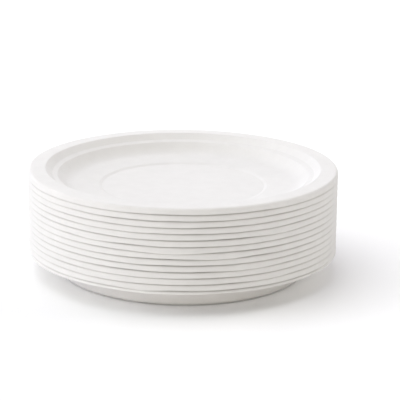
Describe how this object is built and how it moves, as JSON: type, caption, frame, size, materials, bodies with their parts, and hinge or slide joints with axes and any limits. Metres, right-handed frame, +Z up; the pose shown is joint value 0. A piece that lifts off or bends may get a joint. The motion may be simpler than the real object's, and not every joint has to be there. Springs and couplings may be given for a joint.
{
  "type": "stack of disposable plates",
  "caption": "Stack of round disposable plates in moulded fibre. Each has a stepped well, a broad rim and a turned-down lip that rests on the plate below. The lowest plate is deeper.",
  "frame": {"origin": "on the surface that the stack stands on, on the axis of the plates", "axes": "+Z up along the plates' common axis; X and Y are level and may be turned freely"},
  "size_m": [0.26, 0.26, 0.0887],
  "materials": {
    "moulded_fibre": "matt, with a fine fibre grain"
  },
  "bodies": {
    "root": {"plate_01": "moulded_fibre", "plate_02": "moulded_fibre", "plate_03": "moulded_fibre", "plate_04": "moulded_fibre", "plate_05": "moulded_fibre", "plate_06": "moulded_fibre", "plate_07": "moulded_fibre", "plate_08": "moulded_fibre", "plate_09": "moulded_fibre", "plate_10": "moulded_fibre", "plate_11": "moulded_fibre", "plate_12": "moulded_fibre", "plate_13": "moulded_fibre", "plate_14": "moulded_fibre"}
  },
  "joints": []
}
